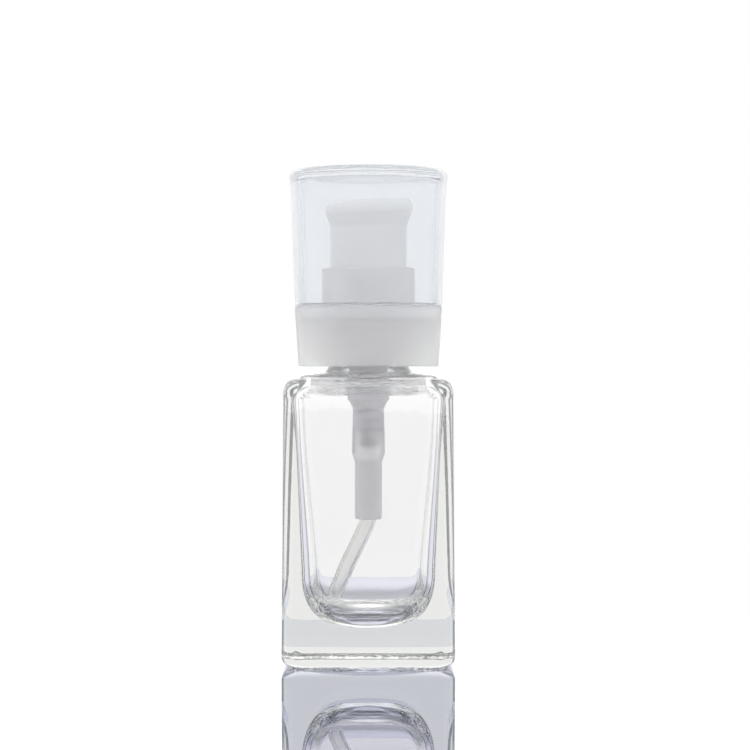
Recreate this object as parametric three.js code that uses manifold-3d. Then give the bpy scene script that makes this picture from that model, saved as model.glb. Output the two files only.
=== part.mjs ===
// A square foundation bottle with a lotion pump and a tapered overcap, in millimetres, +Z up.
// The origin is on the axis, in the plane that the bottle stands on. The front faces -Y.
import * as THREE from "three";
import { mergeVertices } from "three/addons/utils/BufferGeometryUtils.js";
import Module from "manifold-3d";

const wasm = await Module();
wasm.setup();

// Driving dimensions. A name that ends in Z is a height above the ground.

const RESTING_GAP = 0.05;
const SLIDING_GAP = 0.15;
const PITCH = 3.175;
const THREAD_TURNS = 1.25;

const BASE_HALF = 17.5;
const SHOULDER_HALF = 17.1;
const CORNER_ROUND = 2.4;
const HEEL_ROUND = 2.8;
const SHOULDER_ROUND = 2.8;
const SHOULDER_Z = 55.6;
const PUSH_UP_HALF = 12;
const PUSH_UP_HEIGHT = 1;

const CAVITY_FLOOR_Z = 7.4;
const CAVITY_FLOOR_ROUND = 9;
const CAVITY_LOW_HALF = 13.5;
const CAVITY_TOP_HALF = 15;
const CAVITY_TOP_ROUND = 3;
const CAVITY_CEILING_Z = 57;
const CAVITY_CORNER = 4;

const NECK_ROOT_Z = 59.6;
const NECK_LAND_Z = 67.7;
const NECK_RADIUS = 7.85;
const NECK_BORE = 5.3;
const NECK_THREAD_RADIUS = 8.8;
const THREAD_LOW_Z = 62.6;

const BARREL_RADIUS = 4.3;
const BARREL_BORE = 3.45;
const CHAMBER_BORE = 2.45;
const TAIL_RADIUS = 2.75;
const TAIL_END_Z = 28.8;
const FLANGE_RADIUS = 8.5;
const FLANGE_Z = 68.5;
const FLANGE_THICK = 0.8;

const TUBE_RADIUS = 1.6;
const TUBE_BORE = 1;
const BALL_RADIUS = 1.5;
const BALL_Z = 44.8;
const SPRING_SEAT_Z = 46.7;
const SPRING_RADIUS = 2.1;
const SPRING_WIRE = 0.25;
const SPRING_TURNS = 7;

const STEM_RADIUS = 1.95;
const STEM_BORE = 1.15;
const STEM_TOP_Z = 90.3;
const VALVE_HEAD_LOW_Z = 59.2;
const VALVE_HEAD_TOP_Z = 61.8;
const STEM_COLLAR_Z = 66.7;
const GUIDE_RADIUS = 4.2;
const GUIDE_TOP_Z = 78.9;

const CLOSURE_LOW_Z = 61.4;
const CLOSURE_BORE = 9.1;
const CLOSURE_RADIUS = 10.3;
const WELL_RADIUS = 9.6;
const WELL_BORE = 8.45;
const WELL_TOP_Z = 81;
const DECK_Z = 70.3;
const DECK_THICK = 0.9;

const SHELL_LOW_Z = 60.7;
const SHELL_TOP_Z = 73;
const SHELL_LOW_RADIUS = 14.45;
const SHELL_TOP_RADIUS = 15.3;
const SHELL_WALL = 1;

const CAP_TOP_Z = 101.2;
const CAP_FLARE_Z = 95.2;
const CAP_FLARE_RADIUS = 16.03;
const CAP_TOP_RADIUS = 16.43;
const CAP_WALL = 0.85;
const CAP_ROOF = 1.4;

const SKIRT_RADIUS = 7.85;
const SKIRT_WALL = 0.9;
const SKIRT_LOW_Z = 78.5;
const HEAD_LOW_Z = 89.8;
const HEAD_RADIUS = 9;
const HEAD_TOP_Z = 95.3;
const HEAD_TILT = 0.08;
const HEAD_SHIFT = 0.25;
const SOCKET_LOW_Z = 85.5;
const SPOUT_ANGLE = THREE.MathUtils.degToRad(50);
const SPOUT_REACH = 11.3;
const SPOUT_Z = 93.3;

// Helpers

function solid(geometry) {
  const bare = geometry.clone();
  bare.deleteAttribute("normal");
  bare.deleteAttribute("uv");
  const merged = mergeVertices(bare);
  return new wasm.Manifold(
    new wasm.Mesh({
      numProp: 3,
      vertProperties: merged.attributes.position.array,
      triVerts: new Uint32Array(merged.index.array),
    }),
  );
}

function geometryOf(made) {
  const { vertProperties, triVerts } = made.getMesh();
  const geometry = new THREE.BufferGeometry();
  geometry.setAttribute("position", new THREE.BufferAttribute(vertProperties, 3));
  geometry.setIndex(new THREE.BufferAttribute(triVerts, 1));
  geometry.computeVertexNormals();
  return geometry;
}

// A closed outline of straight sides. A corner is [x, y], or [x, y, radius] where it is rounded.
function outline(corners, arcSteps) {
  const points = [];
  corners.forEach(([x, y, radius = 0], i) => {
    const here = new THREE.Vector2(x, y);
    if (radius === 0) {
      points.push(here);
      return;
    }
    const before = new THREE.Vector2(...corners.at(i - 1).slice(0, 2));
    const after = new THREE.Vector2(...corners[(i + 1) % corners.length].slice(0, 2));
    const back = before.sub(here).normalize();
    const ahead = after.sub(here).normalize();
    const half = back.angleTo(ahead) / 2;
    const inward = back.clone().add(ahead).normalize();
    const centre = here.clone().addScaledVector(inward, radius / Math.sin(half));
    const start = here.clone().addScaledVector(back, radius / Math.tan(half));
    const sweep = Math.sign(ahead.cross(back)) * (Math.PI - 2 * half);
    for (let k = 0; k <= arcSteps; k += 1) {
      points.push(start.clone().rotateAround(centre, (sweep * k) / arcSteps));
    }
  });
  return points;
}

// A solid turned round +Z from a closed outline of [radius, z] corners, up the outside and down the inside.
function turned(corners, sides = 32, arcSteps = 2) {
  const points = outline(corners, arcSteps);
  points.push(points[0].clone());
  return solid(new THREE.LatheGeometry(points, sides).rotateX(Math.PI / 2));
}

// A solid of rounded squares stacked along +Z. A ring is [half width, corner radius, z].
function stackedSquares(rings, cornerSteps = 3) {
  const cornerPoints = cornerSteps + 1;
  const around = 4 * cornerPoints;
  const profile = rings.map(([half, , z]) => new THREE.Vector2(half, z));
  const geometry = new THREE.LatheGeometry(profile, around);
  const position = geometry.attributes.position;
  for (let i = 0; i < position.count; i += 1) {
    const [half, round, z] = rings[i % rings.length];
    const step = Math.floor(i / rings.length) % around;
    const corner = Math.floor(step / cornerPoints);
    const diagonal = (corner + 0.5) * (Math.PI / 2);
    const turn = (corner + (step % cornerPoints) / cornerSteps) * (Math.PI / 2);
    const reach = (half - round) * Math.SQRT2;
    const x = reach * Math.cos(diagonal) + round * Math.cos(turn);
    const y = reach * Math.sin(diagonal) + round * Math.sin(turn);
    position.setXYZ(i, x, y, z);
  }
  return solid(geometry);
}

// A helical ridge that stands out from the root radius to the crest radius and fades at both ends.
function threadRidge(root, crest, startAngle) {
  const rootWidth = 1.9;
  const crestWidth = 0.8;
  const buried = 0.3 * Math.sign(root - crest);
  const fade = 0.5;
  const length = THREAD_TURNS * 2 * Math.PI;
  const section = new THREE.Shape([
    new THREE.Vector2(-rootWidth / 2, 0),
    new THREE.Vector2(rootWidth / 2, 0),
    new THREE.Vector2(crestWidth / 2, 1),
    new THREE.Vector2(-crestWidth / 2, 1),
  ]);
  const steps = 20;
  const geometry = new THREE.ExtrudeGeometry(section, { depth: length, steps, bevelEnabled: false });
  const position = geometry.attributes.position;
  const outside = crest > root;
  for (let i = 0; i < position.count; i += 1) {
    const height = position.getX(i);
    const atCrest = position.getY(i) > 0.5;
    const angle = position.getZ(i);
    const rise = Math.min(1, angle / fade, (length - angle) / fade);
    const radius = atCrest ? root + (crest - root) * rise : root + buried;
    const z = THREAD_LOW_Z + (PITCH * angle) / (2 * Math.PI) + (outside ? height : -height);
    const turn = startAngle + angle;
    position.setXYZ(i, radius * Math.cos(turn), radius * Math.sin(turn), z);
  }
  return solid(geometry);
}

// A straight round bar from one point towards another.
function bar(from, to, startRadius, endRadius = startRadius, sides = 16) {
  const start = new THREE.Vector3(...from);
  const run = new THREE.Vector3(...to).sub(start);
  const length = run.length();
  const geometry = new THREE.CylinderGeometry(endRadius, startRadius, length, sides);
  geometry.translate(0, length / 2, 0);
  geometry.applyQuaternion(
    new THREE.Quaternion().setFromUnitVectors(new THREE.Vector3(0, 1, 0), run.normalize()),
  );
  geometry.translate(...from);
  return solid(geometry);
}

const meshes = new THREE.Group();

function add(name, made, material) {
  const mesh = new THREE.Mesh(geometryOf(made), new THREE.MeshStandardMaterial(material));
  mesh.name = name;
  meshes.add(mesh);
}

// Glass

function arcRings(centre, radius, from, to, steps, roundAt) {
  return Array.from({ length: steps + 1 }, (_, k) => {
    const turn = THREE.MathUtils.degToRad(from + ((to - from) * k) / steps);
    const half = centre[0] + radius * Math.cos(turn);
    return [half, roundAt(half), centre[1] + radius * Math.sin(turn)];
  });
}

function bottleOutside() {
  const heelHalf = BASE_HALF - HEEL_ROUND;
  const shoulderEdge = SHOULDER_HALF - SHOULDER_ROUND;
  const softened = (half) => CORNER_ROUND - 0.2 * (BASE_HALF - half);
  return stackedSquares([
    [0, 0, 0],
    ...arcRings([heelHalf, HEEL_ROUND], HEEL_ROUND, -90, 0, 4, softened),
    ...arcRings([shoulderEdge, SHOULDER_Z], SHOULDER_ROUND, 0, 68, 3, () => CORNER_ROUND),
    [13.1, 4, NECK_ROOT_Z - 0.8],
    [10, 6, NECK_ROOT_Z - 0.3],
    [0, 0, NECK_ROOT_Z],
  ]);
}

function bottleNeck() {
  const rootRadius = 8.3;
  const apron = 11.4;
  const apronLow = NECK_ROOT_Z - 1.4;
  return turned([
    [0, apronLow],
    [apron, apronLow],
    [apron, NECK_ROOT_Z - 0.6],
    [rootRadius, NECK_ROOT_Z, 1.4],
    [rootRadius, NECK_ROOT_Z + 2],
    [NECK_RADIUS, NECK_ROOT_Z + 2.6],
    [NECK_RADIUS, NECK_LAND_Z, 0.4],
    [0, NECK_LAND_Z],
  ]);
}

function bottleCavity() {
  const floorCentre = [CAVITY_LOW_HALF - CAVITY_FLOOR_ROUND, CAVITY_FLOOR_Z + CAVITY_FLOOR_ROUND];
  const topCentre = [CAVITY_TOP_HALF - CAVITY_TOP_ROUND, CAVITY_CEILING_Z - CAVITY_TOP_ROUND];
  const corner = () => CAVITY_CORNER;
  const peak = CAVITY_CEILING_Z + 0.6;
  return stackedSquares([
    [0, 0, CAVITY_FLOOR_Z],
    ...arcRings(floorCentre, CAVITY_FLOOR_ROUND, -90, 0, 5, corner),
    [14, CAVITY_CORNER, 31],
    ...arcRings(topCentre, CAVITY_TOP_ROUND, 0, 80, 3, corner),
    [NECK_BORE, NECK_BORE * 0.8, peak],
    [0, 0, peak],
  ]);
}

function pushUp() {
  return stackedSquares([
    [0, 0, -1],
    [PUSH_UP_HALF, 5, -1],
    [PUSH_UP_HALF, 5, 0],
    [PUSH_UP_HALF * 0.75, 4, PUSH_UP_HEIGHT * 0.55],
    [PUSH_UP_HALF * 0.4, 3, PUSH_UP_HEIGHT * 0.9],
    [0, 0, PUSH_UP_HEIGHT],
  ]);
}

function glassBottle() {
  const bore = bar([0, 0, CAVITY_CEILING_Z - 2], [0, 0, NECK_LAND_Z + 1], NECK_BORE, NECK_BORE, 32);
  return bottleOutside()
    .add(bottleNeck())
    .add(threadRidge(NECK_RADIUS, NECK_THREAD_RADIUS, 0))
    .subtract(bottleCavity())
    .subtract(bore)
    .subtract(pushUp());
}

// Pump

function neckGasket() {
  const low = NECK_LAND_Z + RESTING_GAP;
  const top = FLANGE_Z - RESTING_GAP;
  const inner = BARREL_RADIUS + SLIDING_GAP;
  const outer = NECK_RADIUS - SLIDING_GAP;
  return turned([
    [outer, low],
    [outer, top],
    [inner, top],
    [inner, low],
  ]);
}

function pumpHousing() {
  const flangeTop = FLANGE_Z + FLANGE_THICK;
  const rimTop = flangeTop + 0.65;
  const seatTop = BALL_Z + 1.45;
  const vent = bar([0, 0, 64.3], [6, 0, 64.3], 0.35, 0.35, 8);
  return turned(
    [
      [TAIL_RADIUS, TAIL_END_Z, 0.4],
      [TAIL_RADIUS, 40.6],
      [3.4, 42.4, 0.5],
      [3.175, 51.6, 1],
      [BARREL_RADIUS, 54],
      [BARREL_RADIUS, FLANGE_Z],
      [FLANGE_RADIUS, FLANGE_Z],
      [FLANGE_RADIUS, flangeTop],
      [7.7, flangeTop],
      [7.7, rimTop],
      [6.75, rimTop],
      [6.75, flangeTop],
      [BARREL_BORE, flangeTop],
      [BARREL_BORE, 54.2],
      [CHAMBER_BORE, 51.8],
      [CHAMBER_BORE, SPRING_SEAT_Z],
      [1.4, SPRING_SEAT_Z - 0.1],
      [1.4, seatTop],
      [1.85, seatTop - 0.2],
      [1.85, BALL_Z - 0.35],
      [1, BALL_Z - 1.2],
      [1, 41.2],
      [TUBE_RADIUS + RESTING_GAP, 40.9],
      [TUBE_RADIUS + RESTING_GAP, TAIL_END_Z + 1.6],
      [TUBE_RADIUS + 0.5, TAIL_END_Z],
    ],
    24,
  ).subtract(vent);
}

// Straight down the housing's tail, then in one easy bend to the bottom corner of the bottle.
function dipTube() {
  const bendTop = new THREE.Vector3(0, 0, 29.5);
  const path = new THREE.CurvePath();
  path.add(new THREE.LineCurve3(new THREE.Vector3(0, 0, 40.7), bendTop));
  path.add(
    new THREE.CubicBezierCurve3(
      bendTop,
      new THREE.Vector3(0, 0, 26.5),
      new THREE.Vector3(-6.6, 0, 17.5),
      new THREE.Vector3(-6.9, 0, 11),
    ),
  );
  const section = new THREE.Shape().absarc(0, 0, TUBE_RADIUS, 0, 2 * Math.PI);
  section.holes.push(new THREE.Path().absarc(0, 0, TUBE_BORE, 0, 2 * Math.PI));
  const made = new THREE.ExtrudeGeometry(section, { extrudePath: path, steps: 20, curveSegments: 4 });
  return solid(made);
}

function valveBall() {
  return solid(new THREE.SphereGeometry(BALL_RADIUS, 16, 10).translate(0, 0, BALL_Z));
}

// The spring's centre line. Its first and last turns are closed, so they lie nearly flat.
class CoilCurve extends THREE.Curve {
  getPoint(t, target = new THREE.Vector3()) {
    const low = SPRING_SEAT_Z + RESTING_GAP + SPRING_WIRE;
    const top = VALVE_HEAD_LOW_Z - RESTING_GAP - SPRING_WIRE;
    const closed = 2 * SPRING_WIRE + 0.05;
    const turn = t * SPRING_TURNS;
    const openShare = THREE.MathUtils.clamp((turn - 1) / (SPRING_TURNS - 2), 0, 1);
    const closedTurns = Math.min(turn, 1) + Math.max(turn - SPRING_TURNS + 1, 0);
    const z = low + closed * closedTurns + (top - low - 2 * closed) * openShare;
    const angle = 2 * Math.PI * turn;
    return target.set(SPRING_RADIUS * Math.cos(angle), SPRING_RADIUS * Math.sin(angle), z);
  }
}

function returnSpring() {
  const wire = new THREE.Shape().absarc(0, 0, SPRING_WIRE, 0, 2 * Math.PI);
  const steps = SPRING_TURNS * 10;
  return solid(
    new THREE.ExtrudeGeometry(wire, { extrudePath: new CoilCurve(), steps, curveSegments: 3 }),
  );
}

function lowerStem() {
  const rod = STEM_BORE - SLIDING_GAP;
  const low = VALVE_HEAD_LOW_Z - 2;
  const top = 72;
  const flatDepth = 0.4;
  const flatLow = VALVE_HEAD_TOP_Z + 0.2;
  const flat = new THREE.BoxGeometry(1, 4, 12).translate(rod + 0.5 - flatDepth, 0, flatLow + 6);
  const turnedRod = turned(
    [
      [0, low],
      [1.2, low],
      [1.5, VALVE_HEAD_LOW_Z],
      [2.35, VALVE_HEAD_LOW_Z],
      [2.35, VALVE_HEAD_TOP_Z - 0.4],
      [1.9, VALVE_HEAD_TOP_Z],
      [rod, VALVE_HEAD_TOP_Z],
      [rod, top],
      [0, top],
    ],
    20,
  );
  return turnedRod.subtract(solid(flat));
}

function pistonSeal() {
  const lip = BARREL_BORE - 0.07;
  const waist = 2.95;
  const low = VALVE_HEAD_TOP_Z + 0.1;
  const bore = STEM_RADIUS + 0.1;
  return turned(
    [
      [2.7, low],
      [lip - 0.08, low - 0.4],
      [lip, low - 0.3],
      [waist, low + 0.8],
      [waist, low + 2.7],
      [lip, low + 3.95],
      [lip - 0.15, low + 4.05],
      [2.6, low + 3.3],
      [bore, low + 3.3],
      [bore, low],
    ],
    24,
  );
}

function upperStem() {
  const low = VALVE_HEAD_TOP_Z + 0.2;
  const port = bar([-3, 0, low + 0.9], [3, 0, low + 0.9], 0.45, 0.45, 8);
  return turned(
    [
      [STEM_RADIUS, low],
      [STEM_RADIUS, STEM_COLLAR_Z],
      [2.9, STEM_COLLAR_Z],
      [2.9, STEM_COLLAR_Z + 0.7],
      [STEM_RADIUS, STEM_COLLAR_Z + 0.7],
      [STEM_RADIUS, STEM_TOP_Z, 0.3],
      [STEM_BORE, STEM_TOP_Z],
      [STEM_BORE, low],
    ],
    20,
  ).subtract(port);
}

function stemGuide() {
  const plugLow = STEM_COLLAR_Z + 0.85;
  const flangeLow = FLANGE_Z + FLANGE_THICK + RESTING_GAP;
  const flangeTop = flangeLow + 0.6;
  const bore = STEM_RADIUS + SLIDING_GAP;
  return turned(
    [
      [BARREL_BORE - 0.1, plugLow, 0.3],
      [BARREL_BORE - 0.1, flangeLow],
      [6.6, flangeLow],
      [6.6, flangeTop],
      [GUIDE_RADIUS, flangeTop, 0.2],
      [GUIDE_RADIUS, GUIDE_TOP_Z, 2],
      [bore, GUIDE_TOP_Z],
      [bore, GUIDE_TOP_Z - 1],
      [GUIDE_RADIUS - 0.9, GUIDE_TOP_Z - 2.4],
      [GUIDE_RADIUS - 0.9, flangeTop],
      [bore, flangeLow - 0.4],
      [bore, plugLow],
    ],
    24,
  );
}

// Closure and collar

function screwClosure() {
  const ledgeLow = FLANGE_Z + FLANGE_THICK + 0.75;
  const ledgeTop = ledgeLow + 0.95;
  const seatTop = DECK_Z - DECK_THICK - RESTING_GAP;
  const pocket = FLANGE_RADIUS + 0.2;
  const bead = NECK_RADIUS + 0.1;
  return turned([
    [CLOSURE_RADIUS, CLOSURE_LOW_Z, 0.3],
    [CLOSURE_RADIUS, seatTop],
    [WELL_RADIUS, seatTop],
    [WELL_RADIUS, WELL_TOP_Z, 0.45],
    [WELL_BORE, WELL_TOP_Z, 0.25],
    [WELL_BORE, ledgeTop, 0.5],
    [GUIDE_RADIUS + 0.3, ledgeTop],
    [GUIDE_RADIUS + 0.3, ledgeLow],
    [pocket, ledgeLow],
    [pocket, FLANGE_Z - RESTING_GAP],
    [bead, FLANGE_Z - 0.15],
    [bead, NECK_LAND_Z + 0.25],
    [CLOSURE_BORE, NECK_LAND_Z - 0.2],
    [CLOSURE_BORE, CLOSURE_LOW_Z],
  ]).add(threadRidge(CLOSURE_BORE, NECK_RADIUS + 0.3, Math.PI));
}

function collarShell() {
  const deckLow = DECK_Z - DECK_THICK;
  const sleeve = CLOSURE_RADIUS + SLIDING_GAP;
  const sleeveLow = deckLow - 4.4;
  return turned([
    [SHELL_LOW_RADIUS, SHELL_LOW_Z, 0.3],
    [SHELL_TOP_RADIUS, SHELL_TOP_Z, 0.25],
    [SHELL_TOP_RADIUS - SHELL_WALL, SHELL_TOP_Z, 0.2],
    [SHELL_TOP_RADIUS - SHELL_WALL, DECK_Z, 0.3],
    [WELL_RADIUS + SLIDING_GAP, DECK_Z],
    [WELL_RADIUS + SLIDING_GAP, deckLow],
    [sleeve, deckLow],
    [sleeve, sleeveLow],
    [sleeve + 0.8, sleeveLow],
    [sleeve + 0.8, deckLow],
    [SHELL_TOP_RADIUS - SHELL_WALL - 0.2, deckLow, 0.5],
    [SHELL_LOW_RADIUS - SHELL_WALL, SHELL_LOW_Z, 0.2],
  ]);
}

function overcap() {
  const seat = SHELL_TOP_Z + SLIDING_GAP;
  const spigot = SHELL_TOP_RADIUS - SHELL_WALL - SLIDING_GAP;
  const ceiling = CAP_TOP_Z - CAP_ROOF;
  return turned(
    [
      [spigot, DECK_Z + SLIDING_GAP, 0.2],
      [spigot, seat],
      [SHELL_TOP_RADIUS, seat, 0.2],
      [CAP_FLARE_RADIUS, CAP_FLARE_Z, 20],
      [CAP_TOP_RADIUS + 0.1, CAP_TOP_Z, 1.3],
      [0, CAP_TOP_Z],
      [0, ceiling],
      [CAP_TOP_RADIUS - CAP_WALL, ceiling, 1.3],
      [CAP_FLARE_RADIUS - CAP_WALL, CAP_FLARE_Z],
      [SHELL_TOP_RADIUS - CAP_WALL, seat + 0.9],
      [spigot - 0.65, seat],
      [spigot - 0.65, DECK_Z + SLIDING_GAP],
    ],
    40,
  );
}

// Actuator

// A point at a distance along the spout and a height.
function onSpout(along, z) {
  return [along * Math.cos(SPOUT_ANGLE), along * Math.sin(SPOUT_ANGLE), z];
}

// The head leans: above the skirt it rises towards the spout and moves a little that way.
function leaned(made) {
  const fullRise = HEAD_TOP_Z - HEAD_LOW_Z;
  return made.warp((point) => {
    const share = THREE.MathUtils.clamp((point[2] - HEAD_LOW_Z) / fullRise, 0, 1);
    const along = point[0] * Math.cos(SPOUT_ANGLE) + point[1] * Math.sin(SPOUT_ANGLE);
    point[0] += share * HEAD_SHIFT * Math.cos(SPOUT_ANGLE);
    point[1] += share * HEAD_SHIFT * Math.sin(SPOUT_ANGLE);
    point[2] += share * HEAD_TILT * along;
  });
}

function actuatorShell() {
  const inner = SKIRT_RADIUS - SKIRT_WALL;
  return leaned(
    turned([
      [SKIRT_RADIUS, SKIRT_LOW_Z, 0.2],
      [SKIRT_RADIUS, HEAD_LOW_Z, 2],
      [HEAD_RADIUS, HEAD_LOW_Z + 2.1, 1.6],
      [HEAD_RADIUS, HEAD_TOP_Z, 1.7],
      [6.6, HEAD_TOP_Z, 2],
      [4.4, HEAD_TOP_Z - 0.9, 3],
      [0, HEAD_TOP_Z - 1],
      [0, HEAD_TOP_Z - 2.6],
      [inner, HEAD_TOP_Z - 3.2, 1.5],
      [inner, SKIRT_LOW_Z],
    ]),
  );
}

// The tube that grips the stem, widening into the head as a funnel.
function stemSocket() {
  return turned(
    [
      [0, SOCKET_LOW_Z],
      [3, SOCKET_LOW_Z, 0.3],
      [3.6, SOCKET_LOW_Z + 3.5],
      [5.4, HEAD_TOP_Z - 2],
      [0, HEAD_TOP_Z - 2],
    ],
    24,
  );
}

// The web below the outlet channel, from the socket out to the skirt's wall.
function channelWeb() {
  const thick = 3.2;
  const shape = new THREE.Shape([
    new THREE.Vector2(0, SOCKET_LOW_Z + 0.6),
    new THREE.Vector2(2, SOCKET_LOW_Z + 0.6),
    new THREE.Vector2(SKIRT_RADIUS - 0.3, SOCKET_LOW_Z + 4.6),
    new THREE.Vector2(SKIRT_RADIUS - 0.3, HEAD_TOP_Z - 2),
    new THREE.Vector2(0, HEAD_TOP_Z - 2),
  ]);
  const geometry = new THREE.ExtrudeGeometry(shape, { depth: thick, bevelEnabled: false });
  geometry.translate(0, 0, -thick / 2);
  geometry.rotateX(Math.PI / 2);
  geometry.rotateZ(SPOUT_ANGLE);
  return solid(geometry);
}

function actuator() {
  const bore = STEM_RADIUS + SLIDING_GAP;
  const tip = SPOUT_Z + 0.2;
  const outlet = 0.7;
  const spout = bar(onSpout(4.5, SPOUT_Z - 0.7), onSpout(SPOUT_REACH, tip), 2.7, 1.6, 20);
  const channel = bar(onSpout(-0.6, SPOUT_Z - 0.6), onSpout(SPOUT_REACH + 1, tip), outlet, outlet, 12);
  const passage = bar([0, 0, STEM_TOP_Z - 1], [0, 0, SPOUT_Z - 0.4], STEM_BORE, STEM_BORE, 16);
  const stemHole = bar([0, 0, SOCKET_LOW_Z - 1], [0, 0, STEM_TOP_Z + SLIDING_GAP], bore, bore, 24);
  return actuatorShell()
    .add(stemSocket())
    .add(channelWeb())
    .add(spout)
    .subtract(stemHole)
    .subtract(passage)
    .subtract(channel);
}

const CLEAR_GLASS = { color: 0xeef2f4, roughness: 0.03, metalness: 0 };
const NATURAL_PLASTIC = { color: 0xd9dade, roughness: 0.45, metalness: 0 };
const CLEAR_PLASTIC = { color: 0xe3e7ec, roughness: 0.3, metalness: 0 };
const TUBE_PLASTIC = { color: 0xe6e7ec, roughness: 0.35, metalness: 0 };
const SOFT_PLASTIC = { color: 0xcfcfd4, roughness: 0.6, metalness: 0 };
const STEEL = { color: 0xb9bbbf, roughness: 0.25, metalness: 1 };

add("glass_bottle", glassBottle(), CLEAR_GLASS);
add("neck_gasket", neckGasket(), SOFT_PLASTIC);
add("pump_housing", pumpHousing(), NATURAL_PLASTIC);
add("dip_tube", dipTube(), TUBE_PLASTIC);
add("valve_ball", valveBall(), STEEL);
add("return_spring", returnSpring(), STEEL);
add("lower_stem", lowerStem(), NATURAL_PLASTIC);
add("piston_seal", pistonSeal(), SOFT_PLASTIC);
add("upper_stem", upperStem(), NATURAL_PLASTIC);
add("stem_guide", stemGuide(), NATURAL_PLASTIC);
add("screw_closure", screwClosure(), NATURAL_PLASTIC);
add("collar_shell", collarShell(), NATURAL_PLASTIC);
add("overcap", overcap(), CLEAR_PLASTIC);
add("actuator", actuator(), NATURAL_PLASTIC);

export default meshes;
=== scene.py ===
"""The looks of a square foundation bottle with a lotion pump and a tapered overcap.

Outlines are in millimetres, as (radius, height) or (radius, height, corner round). Blender's scene is in
metres.
"""
import math
import random

import bmesh
import bpy
from mathutils import Matrix, Vector


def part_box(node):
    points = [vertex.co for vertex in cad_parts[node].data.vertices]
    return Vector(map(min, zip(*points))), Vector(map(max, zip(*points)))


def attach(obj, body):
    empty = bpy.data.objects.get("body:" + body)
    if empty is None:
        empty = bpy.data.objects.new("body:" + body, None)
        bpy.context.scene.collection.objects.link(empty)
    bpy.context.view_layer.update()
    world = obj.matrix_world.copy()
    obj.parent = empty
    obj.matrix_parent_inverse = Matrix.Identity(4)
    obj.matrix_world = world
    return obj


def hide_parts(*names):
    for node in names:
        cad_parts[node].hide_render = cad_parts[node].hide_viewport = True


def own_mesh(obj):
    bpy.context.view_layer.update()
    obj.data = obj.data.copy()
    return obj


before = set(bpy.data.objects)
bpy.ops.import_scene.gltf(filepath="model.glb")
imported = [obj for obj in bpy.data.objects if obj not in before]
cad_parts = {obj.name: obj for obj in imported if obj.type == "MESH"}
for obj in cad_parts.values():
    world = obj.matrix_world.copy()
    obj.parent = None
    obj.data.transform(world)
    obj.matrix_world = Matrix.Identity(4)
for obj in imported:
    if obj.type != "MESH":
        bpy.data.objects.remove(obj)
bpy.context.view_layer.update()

MM = 0.001
FULL_TURN = 2 * math.pi
ON_AXIS = 1e-6
SHARP_DEGREES = 40

# Sizes that the frame's boxes don't give, in millimetres.

SLIDING_GAP = 0.15
RESTING_GAP = 0.05

SHOULDER_HALF = 17.1
SHOULDER_HEIGHT = 57.56
SHOULDER_ROUND = 2.8
SLOPE_HALF = 13.3
SLOPE_HEIGHT = 58.94
SLOPE_ROUND = 8
BODY_MIDDLE = 30
CAVITY_FLOOR = 7.4
CAVITY_CEILING = 57.0
CAVITY_LOW_HALF = 13.55
CAVITY_TOP_HALF = 15.0
OUTER_CORNER = 2.8
CAVITY_TOP_CORNER = 2.2
CAVITY_LOW_CORNER = 4.2
BOWL_DEPTH = 12.0
BOWL_FLAT = 4.0
BOWL_POWER = 2.3
NECK_ROOT_RADIUS = 8.3
NECK_ROOT_LOW = 59.65
NECK_ROOT_HIGH = 61.3
NECK_RADIUS = 7.85
NECK_LOW = 61.9
NECK_BORE = 5.3
PUSH_UP_HALF = 10.8
PUSH_UP_HEIGHT = 1.0
HEEL_ROUND = 2.3
STIPPLE_RINGS = 8
STIPPLE_STEP = 0.5
STIPPLE_DEPTH = 0.3

BARREL_RADIUS = 4.3
BARREL_BORE = 3.45
BARREL_LOW = 54.0
CHAMBER_RADIUS = 3.175
CHAMBER_BORE = 2.45
CHAMBER_TOP = 51.6
CAGE_RADIUS = 3.4
CAGE_BORE = 1.85
CAGE_LOW = 42.4
OUTLET_BORE = 1.4
INLET_BORE = 1.0
TAIL_RADIUS = 2.75
TAIL_TOP = 40.6
FLANGE_THICK = 0.8
RIM_RADIUS = 7.7
RIM_BORE = 6.75
VENT_RADIUS = 0.35
VENT_HEIGHT = 64.3
TUBE_BORE = 1.0

STEM_RADIUS = 1.95
STEM_BORE = 1.15
ROD_HEAD_RADIUS = 2.35
PORT_RADIUS = 0.45
PISTON_WAIST = 2.95
GUIDE_RADIUS = 4.2
GUIDE_WALL = 0.9
GUIDE_FLANGE_THICK = 0.6
SPRING_WIRE = 0.25
SPRING_TURNS = 7

WELL_RADIUS = 9.6
WELL_BORE = 8.45
WELL_HOLE = 4.5
CLOSURE_BORE = 9.1
DECK_HEIGHT = 70.3
DECK_THICK = 0.9
SLEEVE_HEIGHT = 4.4
SLEEVE_WALL = 0.8
SHELL_LOW_RADIUS = 14.45
SHELL_WALL = 1.0

CAP_WALL = 0.85
CAP_ROOF = 1.4
CAP_FLARE_RADIUS = 16.03
CAP_FLARE_HEIGHT = 95.2
CAP_FLARE_ROUND = 20
CAP_TOP_ROUND = 1.3
SPIGOT_WALL = 0.65

SKIRT_RADIUS = 7.85
SKIRT_WALL = 0.9
HEAD_LOW = 89.8
HEAD_RADIUS = 9.0
HEAD_TOP = 95.3
HEAD_TILT = 0.08
HEAD_SHIFT = 0.25
SOCKET_LOW = 85.5
WEB_HALF = 1.6
WEB_REACH = 7.4
SPOUT_ANGLE = math.radians(50)
SPOUT_START = 6.2
SPOUT_REACH = 11.3
SPOUT_HEIGHT = 93.3
SPOUT_BORE = 0.7

THREAD_PITCH = 3.175
THREAD_TURNS = 1.25
THREAD_LOW = 62.6
THREAD_STEP = 0.12
THREAD_GAP = 0.3
THREAD_CREST = CLOSURE_BORE - THREAD_GAP
THREAD_DEPTH = THREAD_CREST - NECK_RADIUS
CLOSURE_THREAD_START = 0.5

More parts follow.
